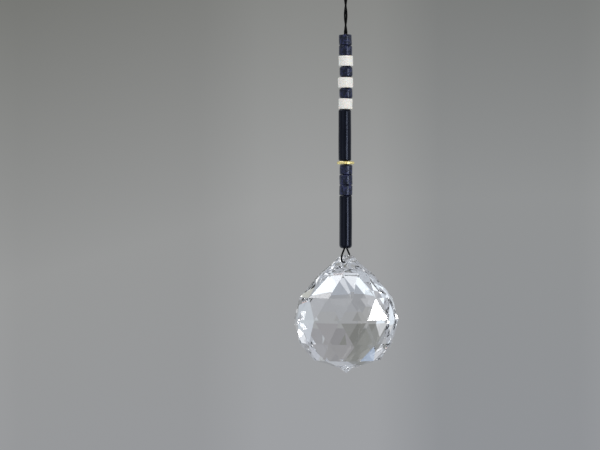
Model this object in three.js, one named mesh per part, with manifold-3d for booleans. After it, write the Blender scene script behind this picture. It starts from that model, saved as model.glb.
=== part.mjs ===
// A hanging crystal suncatcher: a faceted glass drop of 40 mm on a beaded black cord.
// Millimetres, +Z up. The origin is the top of the hanging loop, on its inside, where a hook bears.
// The view from the front looks along +Y, with +X to the right.
import * as THREE from "three";
import { mergeVertices } from "three/addons/utils/BufferGeometryUtils.js";
import Module from "manifold-3d";

const wasm = await Module();
wasm.setup();

// ---- Driving dimensions ----

// The cord: one length, folded where it passes through the crystal.
const CORD_D = 0.7;
const CORD_SIDES = 8;
const STRAND_X = 0.36; // half the distance between the two strands' centrelines
const LOOP_INSIDE_R = 3; // of the hanging loop's top, over its hook
const LOOP_HEIGHT = 24; // from the hook to the binding that closes the loop
const BINDING_R = 1.72;
const BINDING_H = 3.9;
const TWIST_PITCH = 15; // the strands turn once round each other in this height
const TOUCH_GAP = 0.3; // between the cord's solids where they meet

// The beads.
const BORE_R = 1.05;
const BEAD_GAP = 0.24;
const BEAD_SEGMENTS = 20;
const EDGE_STEPS = 3; // facets of a rounded edge

// The crystal, with heights from its middle.
const CRYSTAL_R = 20;
const CRYSTAL_SIDES = 12;
const CRYSTAL_PHASE = THREE.MathUtils.degToRad(22); // a corner of the widest ring, right of the front
const CRYSTAL_X = 0.2;
const CRYSTAL_DROP = 27.3; // from the lowest bead to the crystal's middle
const HOLE_R = 1.0;
const HOLE_Z = 21.46;
const HOLE_YAW = THREE.MathUtils.degToRad(15.8); // the bore runs front to back, turned by this
const HOLE_SEGMENTS = 20;

// The crystal's rings from its lower tip to its flat top, as [radius / CRYSTAL_R, height / CRYSTAL_R].
// Each ring is turned by half a facet from the one below it, so that every facet is a triangle.
const CRYSTAL_TIP = -1.01;
const CRYSTAL_RINGS = [
  [0.125, -0.915],
  [0.65, -0.755],
  [0.895, -0.43],
  [1, 0.02],
  [0.89, 0.435],
  [0.525, 0.865],
  [0.23, 1.11],
  [0.155, 1.2],
  [0.1, 1.235],
];
const WIDEST_RING = 3;

// ---- Materials ----

const finish = (color, roughness, metalness = 0) =>
  new THREE.MeshStandardMaterial({ color, roughness, metalness });

const MATERIALS = {
  crystal: new THREE.MeshPhysicalMaterial({
    color: 0xffffff,
    roughness: 0,
    transmission: 1,
    ior: 1.52,
  }),
  dark: finish(0x2b2d3c, 0.6),
  white: finish(0xe9e6df, 0.45),
  tube: finish(0x15161c, 0.4),
  gold: finish(0xd9bf6a, 0.25, 1),
  cord: finish(0x060606, 0.7),
};

// ---- Solids and meshes ----

// A closed geometry as a manifold-3d solid, for a join or a cut.
function solidOf(geometry) {
  const bare = geometry.index ? geometry.toNonIndexed() : geometry.clone();
  bare.deleteAttribute("normal");
  bare.deleteAttribute("uv");
  const merged = mergeVertices(bare, 1e-4);
  return new wasm.Manifold(
    new wasm.Mesh({
      numProp: 3,
      vertProperties: merged.attributes.position.array,
      triVerts: new Uint32Array(merged.index.array),
    }),
  );
}

function geometryOf(solid) {
  const { vertProperties, triVerts } = solid.getMesh();
  return new THREE.BufferGeometry()
    .setAttribute("position", new THREE.BufferAttribute(vertProperties, 3))
    .setIndex(new THREE.BufferAttribute(triVerts, 1));
}

function meshOf(name, geometry, material) {
  const mesh = new THREE.Mesh(geometry, material);
  mesh.name = name;
  return mesh;
}

// ---- Beads ----

// A quarter round in a bead's section, from angle start to start + 90 degrees, as [radius, height] points.
function roundedEdge(centreR, centreZ, size, start) {
  return Array.from({ length: EDGE_STEPS + 1 }, (_, i) => {
    const a = start + ((Math.PI / 2) * i) / EDGE_STEPS;
    return new THREE.Vector2(centreR + size * Math.cos(a), centreZ + size * Math.sin(a));
  });
}

// A bored bead, standing on z = 0 downwards: its top is at z = 0 and its foot at z = -length.
function beadGeometry({ r, length, topEdge, footEdge }) {
  const section = [
    new THREE.Vector2(BORE_R, -length),
    ...roundedEdge(r - footEdge, footEdge - length, footEdge, -Math.PI / 2),
    ...roundedEdge(r - topEdge, -topEdge, topEdge, 0),
    new THREE.Vector2(BORE_R, 0),
    new THREE.Vector2(BORE_R, -length),
  ];
  return new THREE.LatheGeometry(section, BEAD_SEGMENTS).rotateX(Math.PI / 2);
}

// The spacer ring is a bead with a half-round rim and a slit in its front.
const SLIT_WIDTH = 0.22;
const SLIT_DEPTH = 0.6;

function ringGeometry(size) {
  const slit = new THREE.BoxGeometry(SLIT_WIDTH, 2 * SLIT_DEPTH, 2 * size.length);
  slit.translate(0, -size.r, -size.length / 2);
  return geometryOf(solidOf(beadGeometry(size)).subtract(solidOf(slit)));
}

const DARK = { r: 2.45, topEdge: 0.45, footEdge: 0.45, material: MATERIALS.dark };
const WHITE = { r: 2.75, topEdge: 0.3, footEdge: 0.3, material: MATERIALS.white };
const TUBE = { r: 2.43, material: MATERIALS.tube };
const RING = { r: 3.3, length: 1.25, topEdge: 0.6, footEdge: 0.6, material: MATERIALS.gold };

// The string from the top down. x is how far a bead hangs off the axis and tilt how much it leans, in degrees.
const STRING = [
  { name: "dark_bead_1", ...DARK, length: 3.9, x: -0.12, tilt: -2 },
  { name: "dark_bead_2", ...DARK, length: 3.7, x: -0.05, tilt: 1, r: 2.5 },
  { name: "white_bead_1", ...WHITE, length: 3.7, x: 0.08, tilt: -1 },
  { name: "dark_bead_3", ...DARK, length: 4.05, x: 0.15, tilt: -1.5 },
  { name: "white_bead_2", ...WHITE, length: 3.75, x: -0.05, tilt: -1, r: 2.87 },
  { name: "dark_bead_4", ...DARK, length: 3.85, x: 0.12, tilt: -1.5, r: 2.5 },
  { name: "white_bead_3", ...WHITE, length: 3.8, x: -0.05, tilt: 1, r: 2.65 },
  { name: "tube_bead_upper", ...TUBE, length: 19.45, x: -0.3, tilt: 0, topEdge: 0.8, footEdge: 0.6 },
  { name: "gold_ring", ...RING, x: 0, tilt: 0 },
  { name: "dark_bead_5", ...DARK, length: 3.5, x: 0.12, tilt: 1 },
  { name: "dark_bead_6", ...DARK, length: 3.75, x: 0.1, tilt: -1, r: 2.5 },
  { name: "dark_bead_7", ...DARK, length: 3.7, x: 0.08, tilt: 1, r: 2.5 },
  { name: "tube_bead_lower", ...TUBE, length: 19.95, x: 0, tilt: 0, topEdge: 0.5, footEdge: 1.3 },
];

const BINDING_TOP = -LOOP_HEIGHT;
const BINDING_FOOT = BINDING_TOP - BINDING_H;
const STRING_TOP = BINDING_FOOT - TWIST_PITCH;
const STRING_LENGTH =
  STRING.reduce((sum, bead) => sum + bead.length, 0) + BEAD_GAP * (STRING.length - 1);
const STRING_FOOT = STRING_TOP - STRING_LENGTH;
const CRYSTAL_Z = STRING_FOOT - CRYSTAL_DROP;

function beadString() {
  const group = new THREE.Group();
  let top = STRING_TOP;
  for (const bead of STRING) {
    const geometry = bead.name === "gold_ring" ? ringGeometry(bead) : beadGeometry(bead);
    // The bead turns about its own middle.
    geometry.translate(0, 0, bead.length / 2);
    const mesh = meshOf(bead.name, geometry, bead.material);
    mesh.position.set(bead.x, 0, top - bead.length / 2);
    mesh.rotation.y = THREE.MathUtils.degToRad(bead.tilt);
    group.add(mesh);
    top -= bead.length + BEAD_GAP;
  }
  return group;
}

// ---- Crystal ----

// A corner of the crystal: ring i, corner j. Angles run from the front towards +X.
function corner(i, j) {
  const [r, z] = CRYSTAL_RINGS[i];
  const half = (i - WIDEST_RING) % 2 === 0 ? 0 : 0.5;
  const a = CRYSTAL_PHASE + ((j + half) * 2 * Math.PI) / CRYSTAL_SIDES;
  return [CRYSTAL_R * r * Math.sin(a), -CRYSTAL_R * r * Math.cos(a), CRYSTAL_R * z];
}

// The rings' corners and the facets between them, every one a triangle but the flat top.
function dropGeometry() {
  const n = CRYSTAL_SIDES;
  const positions = [];
  const faces = [];
  CRYSTAL_RINGS.forEach((_, i) => {
    for (let j = 0; j < n; j++) positions.push(...corner(i, j));
  });
  const at = (i, j) => i * n + ((j + n) % n);
  const tip = positions.push(0, 0, CRYSTAL_R * CRYSTAL_TIP) / 3 - 1;
  const last = CRYSTAL_RINGS.length - 1;
  const crown = positions.push(0, 0, CRYSTAL_R * CRYSTAL_RINGS[last][1]) / 3 - 1;
  for (let j = 0; j < n; j++) {
    faces.push(tip, at(0, j + 1), at(0, j));
    faces.push(crown, at(last, j), at(last, j + 1));
    for (let i = 0; i < last; i++) {
      // The upper ring's corner j lies half a facet before or after the lower ring's.
      const shift = (i - WIDEST_RING) % 2 === 0 ? 0 : 1;
      faces.push(at(i, j), at(i, j + 1), at(i + 1, j + shift));
      faces.push(at(i + 1, j + shift), at(i, j + 1), at(i + 1, j + 1 + shift));
    }
  }
  return new THREE.BufferGeometry()
    .setAttribute("position", new THREE.Float32BufferAttribute(positions, 3))
    .setIndex(faces);
}

// The drop with its hanging hole, drilled from front to back under the flat top.
function crystal() {
  const hole = new THREE.CylinderGeometry(HOLE_R, HOLE_R, CRYSTAL_R, HOLE_SEGMENTS);
  hole.rotateZ(-HOLE_YAW).translate(0, 0, HOLE_Z);
  const mesh = meshOf(
    "crystal_drop",
    geometryOf(solidOf(dropGeometry()).subtract(solidOf(hole))),
    MATERIALS.crystal,
  );
  mesh.position.set(CRYSTAL_X, 0, CRYSTAL_Z);
  return mesh;
}

// ---- Cord ----

// A round section with flats, swept along a curve.
function tubeGeometry(curve, steps) {
  const section = new THREE.Shape(
    Array.from({ length: CORD_SIDES }, (_, i) => {
      const a = ((i + 0.5) * 2 * Math.PI) / CORD_SIDES;
      return new THREE.Vector2((CORD_D / 2) * Math.cos(a), (CORD_D / 2) * Math.sin(a));
    }),
  );
  return new THREE.ExtrudeGeometry(section, { steps, extrudePath: curve, bevelEnabled: false });
}

const splineThrough = (points) =>
  new THREE.CatmullRomCurve3(points.map((p) => new THREE.Vector3(...p)), false, "centripetal");

// One strand of the twisted stretch above the beads. side is 1 or -1.
function twistedStrand(side) {
  const perTurn = 8;
  const height = TWIST_PITCH - TOUCH_GAP;
  return Array.from({ length: perTurn + 1 }, (_, i) => {
    const up = (height * i) / perTurn;
    const a = (2 * Math.PI * up) / TWIST_PITCH;
    return [side * STRAND_X * Math.cos(a), side * STRAND_X * Math.sin(a), STRING_TOP + up];
  });
}

// The fold that carries the crystal: out of the lowest bead, down its front, through the hole and up its back.
// The points are [x, y, height above the crystal's middle].
const FOLD = [
  [-STRAND_X, 0, 29.3],
  [-0.38, -0.06, 28.2],
  [-0.46, -0.38, 27.45],
  [-0.62, -1.05, 26.86],
  [-0.88, -2.2, 26.3],
  [-1.2, -3.7, 25.58],
  [-1.5, -5.15, 24.84],
  [-1.66, -5.73, 24.27],
  [-1.72, -5.95, 23.52],
  [-1.64, -5.74, 22.75],
  [-1.42, -5.2, 22.23],
  [-1.1, -4.45, 22.02],
  [-0.51, -2.5, 22.02],
  [0.2, 0, 22.02],
  [0.91, 2.5, 22.02],
  [1.48, 4.45, 22.02],
  [1.68, 5.2, 22.23],
  [1.8, 5.74, 22.75],
  [1.82, 5.95, 23.52],
  [1.74, 5.73, 24.27],
  [1.56, 5.15, 24.84],
  [1.2, 3.7, 25.58],
  [0.88, 2.2, 26.3],
  [0.62, 1.05, 26.86],
  [0.46, 0.38, 27.45],
  [0.38, 0.06, 28.2],
  [STRAND_X, 0, 29.3],
];
const FOLD_STEPS = 54;

// The whole cord below the binding: each stretch meets the next inside a bead.
function cord() {
  const foldTop = CRYSTAL_Z + FOLD[0][2];
  const stretches = [
    tubeGeometry(splineThrough(FOLD.map(([x, y, z]) => [x, y, z + CRYSTAL_Z])), FOLD_STEPS),
  ];
  for (const side of [-1, 1]) {
    const twist = twistedStrand(side);
    stretches.push(
      tubeGeometry(splineThrough(twist), 2 * (twist.length - 1)),
      strandGeometry(side, STRING_TOP, foldTop),
    );
  }
  const whole = stretches.map(solidOf).reduce((sum, stretch) => sum.add(stretch));
  return meshOf("cord", geometryOf(whole), MATERIALS.cord);
}

// A straight strand inside the beads, a little longer at each end so that it joins its neighbours.
function strandGeometry(side, top, foot) {
  const overlap = 0.2;
  const geometry = new THREE.CylinderGeometry(
    CORD_D / 2,
    CORD_D / 2,
    top - foot + 2 * overlap,
    CORD_SIDES,
  );
  return geometry.rotateX(Math.PI / 2).translate(side * STRAND_X, 0, (top + foot) / 2);
}

// The hanging loop above the binding: two straight legs and a round top.
function hangingLoop() {
  const arcR = LOOP_INSIDE_R + CORD_D / 2;
  const arcZ = -LOOP_INSIDE_R;
  const footZ = BINDING_TOP + TOUCH_GAP;
  const reach = arcZ - footZ;
  // The angle at which a straight leg from the binding touches the round top.
  const lean = Math.asin((arcR - STRAND_X) / Math.hypot(reach, STRAND_X));
  const arc = Array.from({ length: 9 }, (_, i) => {
    const a = -lean + ((Math.PI + 2 * lean) * i) / 8;
    return [arcR * Math.cos(a), 0, arcZ + arcR * Math.sin(a)];
  });
  const legs = [1, -1].map((side) => [
    [side * STRAND_X, 0, footZ],
    [side * (STRAND_X + 0.5 * (arcR * Math.cos(lean) - STRAND_X)), 0, footZ + 0.47 * reach],
  ]);
  const points = [...legs[0], ...arc, ...legs[1].reverse()];
  return meshOf("cord_hanging_loop", tubeGeometry(splineThrough(points), 40), MATERIALS.cord);
}

// The turns of cord that bind the loop shut, as one plain barrel.
function binding() {
  const edge = CORD_D / 2;
  const section = [
    new THREE.Vector2(0, BINDING_FOOT),
    ...roundedEdge(BINDING_R - edge, BINDING_FOOT + edge, edge, -Math.PI / 2),
    ...roundedEdge(BINDING_R - edge, BINDING_TOP - edge, edge, 0),
    new THREE.Vector2(0, BINDING_TOP),
  ];
  const barrel = new THREE.LatheGeometry(section, BEAD_SEGMENTS).rotateX(Math.PI / 2);
  return meshOf("cord_binding", barrel, MATERIALS.cord);
}

const suncatcher = new THREE.Group();
suncatcher.add(beadString(), crystal(), cord(), hangingLoop(), binding());

export default suncatcher;
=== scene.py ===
"""The crystal suncatcher's looks: beads, cord, cut glass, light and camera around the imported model.

Metres, +Z up. The front looks along +Y, with +X to the right. The origin is the hanging loop's top.
"""

import math

import bpy
from mathutils import Matrix, Vector, noise

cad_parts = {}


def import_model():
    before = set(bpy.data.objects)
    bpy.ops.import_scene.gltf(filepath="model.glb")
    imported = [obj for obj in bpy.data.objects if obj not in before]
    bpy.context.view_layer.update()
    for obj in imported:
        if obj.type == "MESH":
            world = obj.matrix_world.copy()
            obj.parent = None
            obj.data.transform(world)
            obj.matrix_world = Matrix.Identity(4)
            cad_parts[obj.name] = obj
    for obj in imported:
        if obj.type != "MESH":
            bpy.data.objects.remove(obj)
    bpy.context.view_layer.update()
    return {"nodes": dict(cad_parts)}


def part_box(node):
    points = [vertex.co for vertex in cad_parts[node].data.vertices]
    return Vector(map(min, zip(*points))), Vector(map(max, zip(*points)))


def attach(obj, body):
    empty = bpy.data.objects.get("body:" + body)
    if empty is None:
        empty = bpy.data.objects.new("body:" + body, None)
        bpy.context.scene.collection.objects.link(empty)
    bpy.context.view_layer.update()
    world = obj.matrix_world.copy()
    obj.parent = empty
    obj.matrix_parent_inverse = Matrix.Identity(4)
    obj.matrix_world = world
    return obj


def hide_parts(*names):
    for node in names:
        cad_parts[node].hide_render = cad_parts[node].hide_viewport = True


MM = 0.001


def srgb(*values):
    """Display values 0-255 as linear colour with alpha 1."""
    linear = [
        v / 12.92 if v <= 0.04045 else ((v + 0.055) / 1.055) ** 2.4
        for v in (x / 255 for x in values)
    ]
    return (*linear, 1)


# ---- Cord, as in the CAD model ----

CORD_D = 0.7 * MM
STRAND_X = 0.36 * MM
LOOP_INSIDE_R = 3 * MM
TWIST_PITCH = 15 * MM
TWIST_STEPS = 8
STRAIGHT_STEPS = 8
LOOP_STEPS = 8
LOOP_KNEE = (0.5, 0.47)  # how far out and up each leg of the loop has a point of its own
BINDING_WRAPS = 5
WRAP_STEPS = 24
HIDDEN_IN_BINDING = 1.9 * MM
PLIES = 3
PLY_PITCH = 2.6 * MM
PLY_GROOVE = 0.08  # how deep the cord is grooved between its plies, as a share of its radius
PLY_ROUNDNESS = 0.6
CORD_SECTION = 18  # points round the cord
CORD_STEP = 0.22 * MM

# The fold that carries the crystal, as [x, y, height above the crystal's middle] in millimetres.
FOLD = [
    (-0.36, 0, 29.3),
    (-0.38, -0.06, 28.2),
    (-0.46, -0.38, 27.45),
    (-0.62, -1.05, 26.86),
    (-0.88, -2.2, 26.3),
    (-1.2, -3.7, 25.58),
    (-1.5, -5.15, 24.84),
    (-1.66, -5.73, 24.27),
    (-1.72, -5.95, 23.52),
    (-1.64, -5.74, 22.75),
    (-1.42, -5.2, 22.23),
    (-1.1, -4.45, 22.02),
    (-0.51, -2.5, 22.02),
    (0.2, 0, 22.02),
    (0.91, 2.5, 22.02),
    (1.48, 4.45, 22.02),
    (1.68, 5.2, 22.23),
    (1.8, 5.74, 22.75),
    (1.82, 5.95, 23.52),
    (1.74, 5.73, 24.27),
    (1.56, 5.15, 24.84),
    (1.2, 3.7, 25.58),
    (0.88, 2.2, 26.3),
    (0.62, 1.05, 26.86),
    (0.46, 0.38, 27.45),
    (0.38, 0.06, 28.2),
    (0.36, 0, 29.3),
]
CRYSTAL_TIP = 20.2 * MM  # from the crystal's middle down to its tip
GLASS_IOR = 1.52
GROUND_ROUGHNESS = 0.3  # of the bore's wall
HOLE_R = 1.0 * MM
HOLE_TOLERANCE = 0.03 * MM
HOLE_Z = 21.46 * MM  # above the crystal's middle
HOLE_YAW = math.radians(15.8)

# ---- View ----

VIEW_DISTANCE = 0.8
VIEW_WIDTH = 0.2286
VIEW_ASPECT = 600 / 450
CORD_IN_VIEW = 13.25 * MM  # how much of the cord shows above the beads
STRING_OFF_CENTRE = 17.4 * MM
SENSOR = 36
LIGHT_BOUNCES = 20
GLOSSY_BOUNCES = 12

# ---- Stage. Bearings are seen from the crystal, in degrees: 0 is behind it and 90 to the right. ----

FLOOR_Z = -0.6
FLOOR_R = 0.85
FLOOR_SIDES = 96
FLOOR_COLOUR = (0.62, 0.65, 0.69)
WALL_EDGES = (20, 52)  # the wall fades into the sides between these bearings
SIDES = (0.4, 0.42, 0.46)
WALL_HEIGHTS = (-0.13, 0.3)
WALL_WIDTH = (-0.3, 0.3)
WALL_TILT = 0.3  # how much lower the wall's shades come down towards the left
# The wall's shades by height, from below eye level up, over WALL_HEIGHTS.
WALL = [
    (0.0, srgb(158, 160, 164)),
    (0.333, srgb(159, 160, 160)),
    (0.69, srgb(118, 119, 115)),
    (1.0, srgb(128, 129, 125)),
]
# How much of them is left from left to right, over WALL_WIDTH.
WALL_ACROSS = [
    (0.2, (1.05, 1.05, 1.05, 1)),
    (0.28, (0.9, 0.9, 0.9, 1)),
    (0.42, (0.9, 0.9, 0.9, 1)),
    (0.47, (1, 1, 1, 1)),
    (0.56, (1, 1, 1, 1)),
    (0.61, (0.82, 0.83, 0.84, 1)),
    (0.72, (0.82, 0.83, 0.84, 1)),
    (0.8, (1.05, 1.05, 1.05, 1)),
]

LIGHT_DISTANCE = 1.5
FLOOR_SHARE = 0.95  # a low panel goes this share of the way down to the floor
COOL = (0.9, 1.0, 1.03)
NEUTRAL = (1.0, 1.0, 1.0)

# Many rows are the rounded result of a search for the panels that the drop's facets show from the front,
# adjusted since. They suit this view of this drop only.
# bearing, elevation, width, height, radiance, colour
LIGHTS = {
    "window_right": (102.5, 13.7, 5, 5, 22, NEUTRAL),
    "softbox_front_right": (141.5, -4, 15, 20, 13.5, NEUTRAL),
    "spot_front_right": (151.5, 5.5, 4, 4, 8, NEUTRAL),
    "softbox_front_left": (-140, -5, 40, 24, 0.55, NEUTRAL),
    "softbox_top_left": (-125, 50, 70, 44, 0.9, NEUTRAL),
    "softbox_upper_left": (-76, 58, 20, 20, 4, NEUTRAL),
    "wall_upper_right": (27, 20, 50, 34, 0.07, (1.0, 0.9, 1.2)),
    "low_right": (26, -38, 20, 17, 0.43, COOL),
    "low_left": (-30, -37, 28, 12, 0.4, COOL),
    "low_middle": (-11, -45, 35, 15, 0.26, NEUTRAL),
    "low_stripe": (-11, -43.7, 6, 5, 0.17, NEUTRAL),
    "low_far_right": (41, -29, 9, 9, 0.62, NEUTRAL),
    "low_warm": (-3, -57, 26, 8, 0.12, (1.0, 0.5, 0.25)),
    "low_back": (-18, -24, 20, 14, 0.1, NEUTRAL),
    "side_left": (-65, -17, 55, 44, 0.55, (0.85, 0.96, 1.06)),
    "side_right": (48, -2, 42, 34, 0.17, (0.85, 1.0, 1.08)),
    "strip_right": (70, 18, 18, 18, 0.55, NEUTRAL),
    "high_back": (12, 46, 20, 14, 0.28, (0.9, 0.95, 1.1)),
    "spot_left": (-39, 6, 9, 9, 0.3, NEUTRAL),
    "spot_upper_left": (-54, 42, 11, 11, 0.35, NEUTRAL),
    "blue_left": (-31, 38, 10, 10, 0.3, (0.3, 0.55, 1.0)),
    "warm_left": (-40, 27, 7, 7, 0.4, (1.0, 0.4, 0.25)),
    "yellow_right": (54, -24, 7, 7, 0.18, (1.0, 0.95, 0.5)),
}

# ---- Beads: how each differs from a plain turned disc ----

# tilt is how far the bead leans, and each face, top then foot, is off square by half of its wedge, in degrees.
# edge is how far the rims are rounded, in millimetres.
DARK_BEADS = {
    "dark_bead_1": {"tilt": -2, "wedge": (-1, -3), "edge": 0.4},
    "dark_bead_2": {"tilt": 1, "wedge": (-1, -1), "edge": 0.5},
    "dark_bead_3": {"tilt": -1.5, "wedge": (0, -2), "edge": 1.05},
    "dark_bead_4": {"tilt": -1.5, "wedge": (1, -3), "edge": 0.85},
    "dark_bead_5": {"tilt": 1, "wedge": (0, 1), "edge": 0.42},
    "dark_bead_6": {"tilt": -1, "wedge": (0, -1), "edge": 0.45},
    "dark_bead_7": {"tilt": 1, "wedge": (1, -1), "edge": 0.42},
}
WHITE_BEADS = {
    "white_bead_1": {"tilt": -1, "wedge": (0, -1), "edge": 0.26},
    "white_bead_2": {"tilt": -1, "wedge": (-1, -1), "edge": 0.4},
    "white_bead_3": {"tilt": 1, "wedge": (-1, 0), "edge": 0.3},
}
# seed picks the noise.
TUBE_BEADS = {
    "tube_bead_upper": {"top_edge": 0.8, "foot_edge": 0.6, "seed": 5},
    "tube_bead_lower": {"top_edge": 0.5, "foot_edge": 1.3, "seed": 8},
}
DARK_RELIEF = 0.05  # how rough the surface is, in millimetres
WHITE_RELIEF = 0.012
DARK_SEED = 1  # of the first bead; the next ones count on from it
WHITE_SEED = 11
BORE_R = 1.05 * MM
BEAD_SEGMENTS = 112
BEAD_STEP = 0.16 * MM
BEAD_REACH = 0.1 * MM  # each face goes this much nearer its neighbour than in the CAD model
# Noise on a disc: features per millimetre, then a height in millimetres or a share of its relief.
DISC_LUMPS = (0.45, 0.05)
DISC_GRAIN = ((2.6, 0.3), (5.5, 0.2))
DISC_PITS = (3.4, 1.6)
PIT_LEVEL = 0.18  # noise further below zero than this makes a pit
DISC_SHARE = 0.995  # the plain disc is this much of the CAD bead's radius, under its lumps
DISC_BORE_MARGIN = 0.3 * MM  # no noise nearer to the bore than this
BORE_MARGIN = 0.4 * MM  # the same for the tubes and the ring
# Noise on a tube: features per millimetre by axis, and the height in millimetres.
TUBE_WAVES = ((0.3, 0.3, 0.12), 0.05)
TUBE_GRAIN = ((3, 3, 0.35), 0.003)
TUBE_BARREL = 0.03  # how much smaller a tube's radius is at its ends, in millimetres
RING_SEGMENTS = 240
RING_EDGE = 0.38 * MM
RING_BORE_EDGE = 0.15 * MM
RING_DENTS = (0.8, 0.03)  # features per millimetre, height in millimetres
SEAM_DEPTH = 0.55 * MM
SEAM_HALF_WIDTH = 0.16 * MM
RING_DOME = 0.1 * MM  # how much thinner each face of the ring is at its rim


# ---- Small helpers ----


def mesh_object(name, verts, faces, smooth=True):
    mesh = bpy.data.meshes.new(name)
    mesh.from_pydata(verts, [], faces)
    mesh.validate()
    mesh.polygons.foreach_set("use_smooth", [smooth] * len(mesh.polygons))
    mesh.update()
    obj = bpy.data.objects.new(name, mesh)
    bpy.context.scene.collection.objects.link(obj)
    return obj


def add_piece(obj, material, slot, *nodes):
    """The piece takes its material, rides on the body and hides the CAD nodes it takes the place of."""
    obj.data.materials.clear()
    obj.data.materials.append(material)
    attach(obj, "root")
    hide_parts(*nodes)
    return obj


def smooth_path(points, step):
    """A Catmull-Rom curve through the points, sampled about every step."""
    pts = [Vector(p) for p in points]
    pts = [2 * pts[0] - pts[1], *pts, 2 * pts[-1] - pts[-2]]
    out = []
    for a, b, c, d in zip(pts, pts[1:], pts[2:], pts[3:]):
        count = max(1, round((c - b).length / step))
        for i in range(count):
            t = i / count
            out.append(
                0.5
                * (
                    2 * b
                    + t * (c - a)
                    + t * t * (2 * a - 5 * b + 4 * c - d)
                    + t * t * t * (3 * b - 3 * c + d - a)
                )
            )
    out.append(pts[-2])
    return out


def path_length(path):
    return sum((b - a).length for a, b in zip(path, path[1:]))


# ---- Camera ----


def add_camera(string_top):
    data = bpy.data.cameras.new("camera")
    data.sensor_width = SENSOR
    data.lens = SENSOR * VIEW_DISTANCE / VIEW_WIDTH
    data.clip_start = 0.01
    data.clip_end = 20
    camera = bpy.data.objects.new("camera", data)
    bpy.context.scene.collection.objects.link(camera)
    view_centre = string_top + CORD_IN_VIEW - VIEW_WIDTH / VIEW_ASPECT / 2
    camera.location = (-STRING_OFF_CENTRE, -VIEW_DISTANCE, view_centre)
    camera.rotation_euler = (math.pi / 2, 0, 0)
    bpy.context.scene.camera = camera


# ---- Cord ----


def plied_tube(name, path, diameter):
    """A twisted cord along the path: a section with one lobe for each ply, turned as it goes."""
    verts = []
    faces = []
    n = CORD_SECTION
    tangents = [
        (path[min(i + 1, len(path) - 1)] - path[max(i - 1, 0)]).normalized()
        for i in range(len(path))
    ]
    side = tangents[0].orthogonal().normalized()
    run = 0.0
    for i, (point, tangent) in enumerate(zip(path, tangents)):
        side = (side - side.dot(tangent) * tangent).normalized()
        other = tangent.cross(side)
        if i:
            run += (point - path[i - 1]).length
        turn = 2 * math.pi * run / PLY_PITCH
        for k in range(n):
            a = 2 * math.pi * k / n
            lobe = abs(math.cos(PLIES * (a - turn) / 2))
            r = diameter / 2 * (1 - PLY_GROOVE * (1 - lobe**PLY_ROUNDNESS))
            verts.append(point + r * (math.cos(a) * side + math.sin(a) * other))
    for i in range(len(path) - 1):
        for k in range(n):
            a = i * n + k
            b = i * n + (k + 1) % n
            faces.append((a, b, b + n, a + n))
    faces.append(tuple(reversed(range(n))))
    faces.append(tuple(range((len(path) - 1) * n, len(path) * n)))
    return mesh_object(name, verts, faces)


def twisted_strand(side, foot, top):
    """One of the two strands that turn round each other, from foot to top."""
    count = round(TWIST_STEPS * (top - foot) / TWIST_PITCH)
    points = []
    for i in range(count + 1):
        up = (top - foot) * i / count
        a = 2 * math.pi * up / TWIST_PITCH
        points.append((side * STRAND_X * math.cos(a), side * STRAND_X * math.sin(a), foot + up))
    return points


def straight_strand(side, foot, top):
    step = (top - foot) / STRAIGHT_STEPS
    return [(side * STRAND_X, 0, foot + step * i) for i in range(1, STRAIGHT_STEPS)]


def hanging_cord(material, string_top):
    """The whole cord below the binding: down one side, through the crystal and up the other."""
    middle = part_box("crystal_drop")[0].z + CRYSTAL_TIP
    binding_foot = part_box("cord_binding")[0].z
    inside_binding = binding_foot + HIDDEN_IN_BINDING
    fold = [(x * MM, y * MM, middle + z * MM) for x, y, z in FOLD]
    fold_top = fold[0][2]
    left = twisted_strand(-1, string_top, inside_binding)
    right = twisted_strand(1, string_top, inside_binding)
    points = [
        *reversed(left),
        *reversed(straight_strand(-1, fold_top, string_top)),
        *fold,
        *straight_strand(1, fold_top, string_top),
        *right,
    ]
    path = smooth_path(points, CORD_STEP)
    piece = plied_tube("plied_cord", path, CORD_D)
    add_piece(piece, material, "cord", "cord")
    path_length(path)


def cord_binding(material):
    """Turns of the same cord, wrapped tight round both strands."""
    low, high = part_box("cord_binding")
    wrap_r = high.x - CORD_D / 2
    first = low.z + CORD_D / 2
    rise = high.z - low.z - CORD_D
    count = BINDING_WRAPS * WRAP_STEPS
    path = []
    for i in range(count + 1):
        a = 2 * math.pi * BINDING_WRAPS * i / count
        path.append(Vector((wrap_r * math.cos(a), wrap_r * math.sin(a), first + rise * i / count)))
    piece = plied_tube("cord_whipping", path, CORD_D)
    return add_piece(piece, material, "cord", "cord_binding")


def hanging_loop(material):
    """Two legs out of the binding and a round top, over the hook."""
    low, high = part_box("cord_hanging_loop")
    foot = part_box("cord_binding")[1].z
    inside_binding = foot - HIDDEN_IN_BINDING
    arc_r = LOOP_INSIDE_R + CORD_D / 2
    arc_z = -LOOP_INSIDE_R
    reach = arc_z - foot
    lean = math.asin((arc_r - STRAND_X) / math.hypot(reach, STRAND_X))
    arc = []
    for i in range(LOOP_STEPS + 1):
        a = -lean + (math.pi + 2 * lean) * i / LOOP_STEPS
        arc.append((arc_r * math.cos(a), 0, arc_z + arc_r * math.sin(a)))
    knee_out, knee_up = LOOP_KNEE
    knee_x = STRAND_X + knee_out * (arc_r * math.cos(lean) - STRAND_X)
    knee_z = foot + knee_up * reach
    legs = [
        [(s * STRAND_X, 0, inside_binding), (s * STRAND_X, 0, foot), (s * knee_x, 0, knee_z)]
        for s in (1, -1)
    ]
    path = smooth_path([*legs[0], *arc, *reversed(legs[1])], CORD_STEP)
    piece = plied_tube("hanging_eye", path, CORD_D)
    add_piece(piece, material, "cord", "cord_hanging_loop")
    path_length(path)


# ---- Beads ----


def section_arc(r, z, size, start, steps):
    out = []
    for i in range(steps + 1):
        a = math.radians(start) + math.pi / 2 * i / steps
        out.append((r + size * math.cos(a), z + size * math.sin(a)))
    return out


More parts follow.
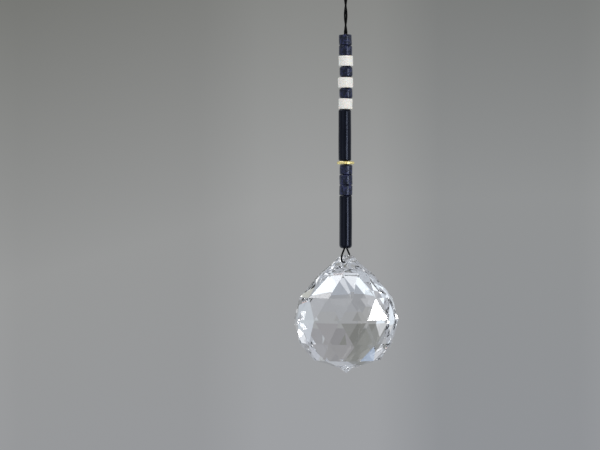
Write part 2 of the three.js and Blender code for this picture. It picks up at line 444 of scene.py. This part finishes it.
def bead_section(r, half, bore, top_edge, foot_edge, rim=0.1 * MM):
    """A closed section of a bored bead, from the bore's foot out, up and back."""
    corners = [
        *section_arc(bore + rim, -half + rim, rim, 180, 3),
        *section_arc(r - foot_edge, -half + foot_edge, foot_edge, -90, 6),
        *section_arc(r - top_edge, half - top_edge, top_edge, 0, 6),
        *section_arc(bore + rim, half - rim, rim, 90, 3),
    ]
    out = []
    for (r0, z0), (r1, z1) in zip(corners, corners[1:] + corners[:1]):
        count = max(1, round(math.hypot(r1 - r0, z1 - z0) / BEAD_STEP))
        out += [(r0 + (r1 - r0) * i / count, z0 + (z1 - z0) * i / count) for i in range(count)]
    return out


def turned(name, section, shape, segments=BEAD_SEGMENTS):
    """A lathe of a closed section. shape moves each point by its place and its bearing."""
    verts = []
    faces = []
    n = len(section)
    for k in range(segments):
        a = 2 * math.pi * k / segments
        for r, z in section:
            verts.append(shape(Vector((r * math.cos(a), r * math.sin(a), z))))
        for i in range(n):
            j = (i + 1) % n
            m = (k + 1) % segments
            faces.append((k * n + i, m * n + i, m * n + j, k * n + j))
    return mesh_object(name, verts, faces)


def disc_bead(name, node, tilt, wedge, edge, relief, seed):
    """A hand-cut disc: faces not quite parallel, rims worn, and a grained, pitted surface."""
    low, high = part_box(node)
    centre = (low + high) / 2
    lean = math.radians(tilt)
    # The box of a leaning disc, taken back to the disc.
    width = high.y - low.y
    length = (high.z - low.z - width * abs(math.sin(lean))) / math.cos(lean)
    r = width / 2
    half = length / 2 + BEAD_REACH
    section = bead_section(r * DISC_SHARE, half, BORE_R, edge * MM, edge * MM)
    top_slope, foot_slope = (math.tan(math.radians(w)) for w in wedge)
    shift = Vector((seed * 3.1, seed * 1.7, seed * 0.9))
    turn = Matrix.Rotation(lean, 3, "Y")
    lump_scale, lump_height = DISC_LUMPS
    pit_scale, pit_depth = DISC_PITS

    def shape(p):
        share = p.z / half
        # The faces are off square, and the middle of the disc is not.
        p.z += p.x * (top_slope * max(share, 0) - foot_slope * min(share, 0)) * 0.5
        if Vector((p.x, p.y)).length - BORE_R >= DISC_BORE_MARGIN:
            at = p / MM
            lump = lump_height * noise.noise(at * lump_scale + shift)
            grain = sum(height * noise.noise(at * scale + shift) for scale, height in DISC_GRAIN)
            pit = pit_depth * min(0, noise.noise(at * pit_scale - shift) + PIT_LEVEL)
            p += Vector((p.x, p.y, 0)).normalized() * (lump + relief * (grain + pit)) * MM
        return turn @ p + centre

    return turned(name, section, shape)


def stretched_noise(at, scales, shift):
    return noise.noise(Vector([a * scale for a, scale in zip(at, scales)]) + shift)


def tube_bead(name, node, top_edge, foot_edge, seed):
    """A long polished tube, very slightly barrelled, with a faint lengthwise grain."""
    low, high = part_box(node)
    centre = (low + high) / 2
    r = (high.x - low.x) / 2
    half = (high.z - low.z) / 2 + BEAD_REACH
    section = bead_section(r, half, BORE_R, top_edge * MM, foot_edge * MM)
    shift = Vector((seed * 2.3, 0.7, seed))
    wave_scales, wave_height = TUBE_WAVES
    grain_scales, grain_height = TUBE_GRAIN

    def shape(p):
        if Vector((p.x, p.y)).length > BORE_R + BORE_MARGIN:
            at = p / MM
            barrel = -TUBE_BARREL * (p.z / half) ** 2
            wave = wave_height * stretched_noise(at, wave_scales, shift)
            grain = grain_height * stretched_noise(at, grain_scales, shift)
            p += Vector((p.x, p.y, 0)).normalized() * (barrel + wave + grain) * MM
        return p + centre

    return turned(name, section, shape)


def spacer_ring(name, node):
    """A stamped spacer: a rounded rim with a butt seam in front, and faces that thin towards the rim."""
    low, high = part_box(node)
    centre = (low + high) / 2
    r = (high.x - low.x) / 2
    half = (high.z - low.z) / 2
    section = bead_section(r, half, BORE_R, RING_EDGE, RING_EDGE, rim=RING_BORE_EDGE)
    seam = -math.pi / 2
    dent_scale, dent_height = RING_DENTS

    def shape(p):
        bearing = math.atan2(p.y, p.x)
        off = abs(math.remainder(bearing - seam, 2 * math.pi)) * r
        radius = Vector((p.x, p.y)).length
        if radius > BORE_R + BORE_MARGIN:
            depth = SEAM_DEPTH * max(0.0, 1 - off / SEAM_HALF_WIDTH) ** 0.5
            dent = dent_height * MM * noise.noise(p / MM * dent_scale)
            p -= Vector((p.x, p.y, 0)).normalized() * (depth + dent)
        p.z -= RING_DOME * (radius - BORE_R) / (r - BORE_R) * p.z / half
        return p + centre

    return turned(name, section, shape, segments=RING_SEGMENTS)


def add_disc_beads(beads, material, slot, relief, first_seed):
    for seed, (node, looks) in enumerate(beads.items(), first_seed):
        bead = disc_bead(node.replace("bead", "disc"), node, **looks, relief=relief, seed=seed)
        add_piece(bead, material, slot, node)


def add_tube_beads(material):
    for node, looks in TUBE_BEADS.items():
        bead = tube_bead(node.replace("tube_bead", "black_tube"), node, **looks)
        add_piece(bead, material, "tube_bead", node)


# ---- Materials ----


def new_material(name):
    material = bpy.data.materials.new(name)
    material.use_nodes = True
    nodes = material.node_tree.nodes
    shader = nodes["Principled BSDF"]
    return material, nodes, material.node_tree.links, shader


def noise_texture(nodes, links, scale, detail=4, roughness=0.55, stretch=(1, 1, 1)):
    """Noise in the object's own metres. scale is in features per millimetre."""
    coords = nodes.new("ShaderNodeTexCoord")
    mapping = nodes.new("ShaderNodeMapping")
    mapping.inputs["Scale"].default_value = [scale / MM * s for s in stretch]
    texture = nodes.new("ShaderNodeTexNoise")
    texture.inputs["Scale"].default_value = 1
    texture.inputs["Detail"].default_value = detail
    texture.inputs["Roughness"].default_value = roughness
    links.new(coords.outputs["Object"], mapping.inputs["Vector"])
    links.new(mapping.outputs["Vector"], texture.inputs["Vector"])
    return texture.outputs["Fac"]


def colour_ramp(nodes, links, source, stops):
    ramp = nodes.new("ShaderNodeValToRGB")
    elements = ramp.color_ramp.elements
    while len(elements) < len(stops):
        elements.new(0.5)
    for element, (at, colour) in zip(elements, stops):
        element.position = at
        element.color = colour
    links.new(source, ramp.inputs["Fac"])
    return ramp.outputs["Color"]


def fill_socket(links, socket, source):
    """Gives an input a value or another node's output."""
    if isinstance(source, bpy.types.NodeSocket):
        links.new(source, socket)
    else:
        socket.default_value = source


def mix_colours(nodes, links, factor, a, b, blend="MIX"):
    mix = nodes.new("ShaderNodeMix")
    mix.data_type = "RGBA"
    mix.blend_type = blend
    colours = [socket for socket in mix.inputs if socket.type == "RGBA"]
    fill_socket(links, mix.inputs["Factor"], factor)
    fill_socket(links, colours[0], a)
    fill_socket(links, colours[1], b)
    return next(socket for socket in mix.outputs if socket.type == "RGBA")


def maths(nodes, links, operation, *sources):
    node = nodes.new("ShaderNodeMath")
    node.operation = operation
    for socket, source in zip(node.inputs, sources):
        fill_socket(links, socket, source)
    return node.outputs["Value"]


def map_range(nodes, links, source, low, high, to_low, to_high):
    node = nodes.new("ShaderNodeMapRange")
    node.inputs["From Min"].default_value = low
    node.inputs["From Max"].default_value = high
    node.inputs["To Min"].default_value = to_low
    node.inputs["To Max"].default_value = to_high
    links.new(source, node.inputs["Value"])
    return node.outputs["Result"]


def add_bump(nodes, links, shader, source, height, strength):
    bump = nodes.new("ShaderNodeBump")
    bump.inputs["Strength"].default_value = strength
    bump.inputs["Distance"].default_value = height
    links.new(source, bump.inputs["Height"])
    links.new(bump.outputs["Normal"], shader.inputs["Normal"])


def dark_material():
    material, nodes, links, shader = new_material("mottled_dark")
    mottle = noise_texture(nodes, links, 0.9, detail=5, roughness=0.75)
    ramp = colour_ramp(
        nodes,
        links,
        mottle,
        [
            (0.4, srgb(2, 2, 7)),
            (0.49, srgb(12, 13, 26)),
            (0.6, srgb(44, 47, 80)),
        ],
    )
    links.new(ramp, shader.inputs["Base Color"])
    fine = noise_texture(nodes, links, 4.5, detail=3)
    links.new(map_range(nodes, links, fine, 0.3, 0.7, 0.22, 0.36), shader.inputs["Roughness"])
    shader.inputs["Specular IOR Level"].default_value = 0.42
    shader.inputs["Specular Tint"].default_value = (0.66, 0.76, 1, 1)
    add_bump(nodes, links, shader, fine, 0.05 * MM, 0.7)
    return material


def white_material():
    material, nodes, links, shader = new_material("warm_white")
    streaks = noise_texture(nodes, links, 1.3, detail=5, roughness=0.6, stretch=(1, 1, 2.2))
    ramp = colour_ramp(
        nodes,
        links,
        streaks,
        [
            (0.3, srgb(224, 217, 204)),
            (0.5, srgb(242, 238, 228)),
            (0.7, srgb(248, 246, 240)),
        ],
    )
    links.new(ramp, shader.inputs["Base Color"])
    shader.inputs["Subsurface Weight"].default_value = 0.2
    shader.inputs["Subsurface Radius"].default_value = (0.8, 0.6, 0.45)
    shader.inputs["Subsurface Scale"].default_value = 0.6 * MM
    pores = noise_texture(nodes, links, 5, detail=2)
    links.new(map_range(nodes, links, pores, 0.3, 0.7, 0.4, 0.6), shader.inputs["Roughness"])
    add_bump(nodes, links, shader, pores, 0.02 * MM, 0.5)
    return material


def tube_material():
    material, nodes, links, shader = new_material("satin_black")
    grain = noise_texture(nodes, links, 2.2, detail=4, stretch=(1, 1, 0.07))
    ramp = colour_ramp(
        nodes,
        links,
        grain,
        [
            (0.35, srgb(1, 1, 4)),
            (0.65, srgb(7, 7, 16)),
        ],
    )
    links.new(ramp, shader.inputs["Base Color"])
    links.new(map_range(nodes, links, grain, 0.3, 0.7, 0.22, 0.26), shader.inputs["Roughness"])
    shader.inputs["Specular IOR Level"].default_value = 0.23
    shader.inputs["Specular Tint"].default_value = (0.62, 0.72, 1, 1)
    add_bump(nodes, links, shader, grain, 0.003 * MM, 0.3)
    return material


def gold_material():
    material, nodes, links, shader = new_material("gold")
    shader.inputs["Metallic"].default_value = 0.8
    wear = noise_texture(nodes, links, 1.6, detail=3)
    ramp = colour_ramp(
        nodes,
        links,
        wear,
        [
            (0.3, srgb(238, 216, 138)),
            (0.7, srgb(250, 236, 168)),
        ],
    )
    links.new(ramp, shader.inputs["Base Color"])
    links.new(map_range(nodes, links, wear, 0.3, 0.7, 0.25, 0.4), shader.inputs["Roughness"])
    return material


def cord_material():
    material, nodes, links, shader = new_material("black_cord")
    fibre = noise_texture(nodes, links, 6, detail=2)
    ramp = colour_ramp(
        nodes,
        links,
        fibre,
        [
            (0.35, srgb(1, 1, 1)),
            (0.7, srgb(6, 6, 7)),
        ],
    )
    links.new(ramp, shader.inputs["Base Color"])
    shader.inputs["Roughness"].default_value = 0.6
    shader.inputs["Specular IOR Level"].default_value = 0.06
    add_bump(nodes, links, shader, fibre, 0.02 * MM, 0.5)
    return material


def glass_material(name, roughness):
    material, nodes, links, shader = new_material(name)
    shader.inputs["Base Color"].default_value = (1, 1, 1, 1)
    shader.inputs["Roughness"].default_value = roughness
    shader.inputs["IOR"].default_value = GLASS_IOR
    shader.inputs["Transmission Weight"].default_value = 1
    return material


# ---- Crystal ----


def bore_faces(crystal):
    """The faces of the drilled hole: those whose corners all lie on its wall."""
    low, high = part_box("crystal_drop")
    centre = Vector(((low.x + high.x) / 2, (low.y + high.y) / 2, low.z + CRYSTAL_TIP + HOLE_Z))
    along = Vector((math.sin(HOLE_YAW), math.cos(HOLE_YAW), 0))
    mesh = crystal.data
    places = [crystal.matrix_world @ vertex.co for vertex in mesh.vertices]
    on_wall = [(p - centre).cross(along).length < HOLE_R + HOLE_TOLERANCE for p in places]
    return [face for face in mesh.polygons if all(on_wall[i] for i in face.vertices)]


def dress_crystal(crystal):
    """The CAD solid keeps its shape and gets clear glass, with a ground finish in its bore."""
    mesh = crystal.data
    mesh.materials.clear()
    mesh.materials.append(glass_material("cut_glass", 0))
    mesh.materials.append(glass_material("ground_glass", GROUND_ROUGHNESS))
    for face in mesh.polygons:
        face.use_smooth = False
        face.material_index = 0
    for face in bore_faces(crystal):
        face.material_index = 1


# ---- Stage ----


def add_light(target, name, bearing, elevation, width, height, radiance, colour):
    """A soft panel that faces the target and fills width by height degrees of its surroundings."""
    a = math.radians(bearing)
    e = math.radians(elevation)
    towards = Vector((math.sin(a) * math.cos(e), math.cos(a) * math.cos(e), math.sin(e)))
    # A low panel stands closer, so that it stays above the floor.
    lowest = math.radians(elevation - height / 2)
    distance = LIGHT_DISTANCE
    if lowest < 0:
        distance = min(distance, FLOOR_SHARE * (target.z - FLOOR_Z) / -math.sin(lowest))
    data = bpy.data.lights.new(name, "AREA")
    data.shape = "RECTANGLE"
    data.size = 2 * distance * math.tan(math.radians(width / 2))
    data.size_y = 2 * distance * math.tan(math.radians(height / 2))
    data.energy = radiance * math.pi * data.size * data.size_y
    data.color = colour
    light = bpy.data.objects.new(name, data)
    light.location = target + towards * distance
    light.rotation_euler = towards.to_track_quat("Z", "Y").to_euler()
    light.visible_camera = False
    bpy.context.scene.collection.objects.link(light)


def add_lights():
    low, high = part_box("crystal_drop")
    target = (low + high) / 2
    for name, looks in LIGHTS.items():
        add_light(target, name, *looks)


def add_world():
    """A grey surround: a shaded wall behind the crystal, and a brighter plain grey everywhere else."""
    world = bpy.data.worlds.new("studio")
    world.use_nodes = True
    bpy.context.scene.world = world
    nodes = world.node_tree.nodes
    links = world.node_tree.links
    coords = nodes.new("ShaderNodeTexCoord")
    split = nodes.new("ShaderNodeSeparateXYZ")
    links.new(coords.outputs["Generated"], split.inputs["Vector"])
    flat = nodes.new("ShaderNodeCombineXYZ")
    links.new(split.outputs["X"], flat.inputs["X"])
    links.new(split.outputs["Y"], flat.inputs["Y"])
    unit = nodes.new("ShaderNodeVectorMath")
    unit.operation = "NORMALIZE"
    links.new(flat.outputs["Vector"], unit.inputs[0])
    across = nodes.new("ShaderNodeSeparateXYZ")
    links.new(unit.outputs["Vector"], across.inputs["Vector"])
    near_wall, past_wall = (math.cos(math.radians(edge)) for edge in WALL_EDGES)
    sides = map_range(nodes, links, across.outputs["Y"], near_wall, past_wall, 0, 1)
    left = maths(nodes, links, "MINIMUM", across.outputs["X"], 0)
    height = maths(nodes, links, "MULTIPLY_ADD", left, -WALL_TILT, split.outputs["Z"])
    up = colour_ramp(nodes, links, map_range(nodes, links, height, *WALL_HEIGHTS, 0, 1), WALL)
    along = map_range(nodes, links, across.outputs["X"], *WALL_WIDTH, 0, 1)
    shade = colour_ramp(nodes, links, along, WALL_ACROSS)
    wall = mix_colours(nodes, links, 1, up, shade, "MULTIPLY")
    room = mix_colours(nodes, links, sides, wall, (*SIDES, 1))
    links.new(room, nodes["Background"].inputs["Color"])
    nodes["Background"].inputs["Strength"].default_value = 1


def add_floor():
    """A round pale floor well below the crystal."""
    ring = []
    for i in range(FLOOR_SIDES):
        a = 2 * math.pi * i / FLOOR_SIDES
        ring.append((FLOOR_R * math.cos(a), FLOOR_R * math.sin(a), FLOOR_Z))
    floor = mesh_object("floor", ring, [tuple(range(FLOOR_SIDES))], smooth=False)
    material, nodes, links, shader = new_material("pale_floor")
    shader.inputs["Base Color"].default_value = (*FLOOR_COLOUR, 1)
    shader.inputs["Roughness"].default_value = 0.9
    floor.data.materials.append(material)


def set_light_paths():
    cycles = bpy.context.scene.cycles
    cycles.max_bounces = LIGHT_BOUNCES
    cycles.transmission_bounces = LIGHT_BOUNCES
    cycles.glossy_bounces = GLOSSY_BOUNCES


def main():
    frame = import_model()
    string_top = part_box("dark_bead_1")[1].z
    add_camera(string_top)
    cord = cord_material()
    binding = cord_binding(cord)
    hanging_cord(cord, string_top)
    hanging_loop(cord)

    add_disc_beads(DARK_BEADS, dark_material(), "dark_bead", DARK_RELIEF, DARK_SEED)
    add_disc_beads(WHITE_BEADS, white_material(), "white_bead", WHITE_RELIEF, WHITE_SEED)
    add_tube_beads(tube_material())
    add_piece(spacer_ring("gold_spacer", "gold_ring"), gold_material(), "gold_ring", "gold_ring")
    dress_crystal(frame["nodes"]["crystal_drop"])

    add_world()
    add_lights()
    add_floor()
    set_light_paths()
    bpy.context.scene.view_settings.view_transform = "Standard"


main()
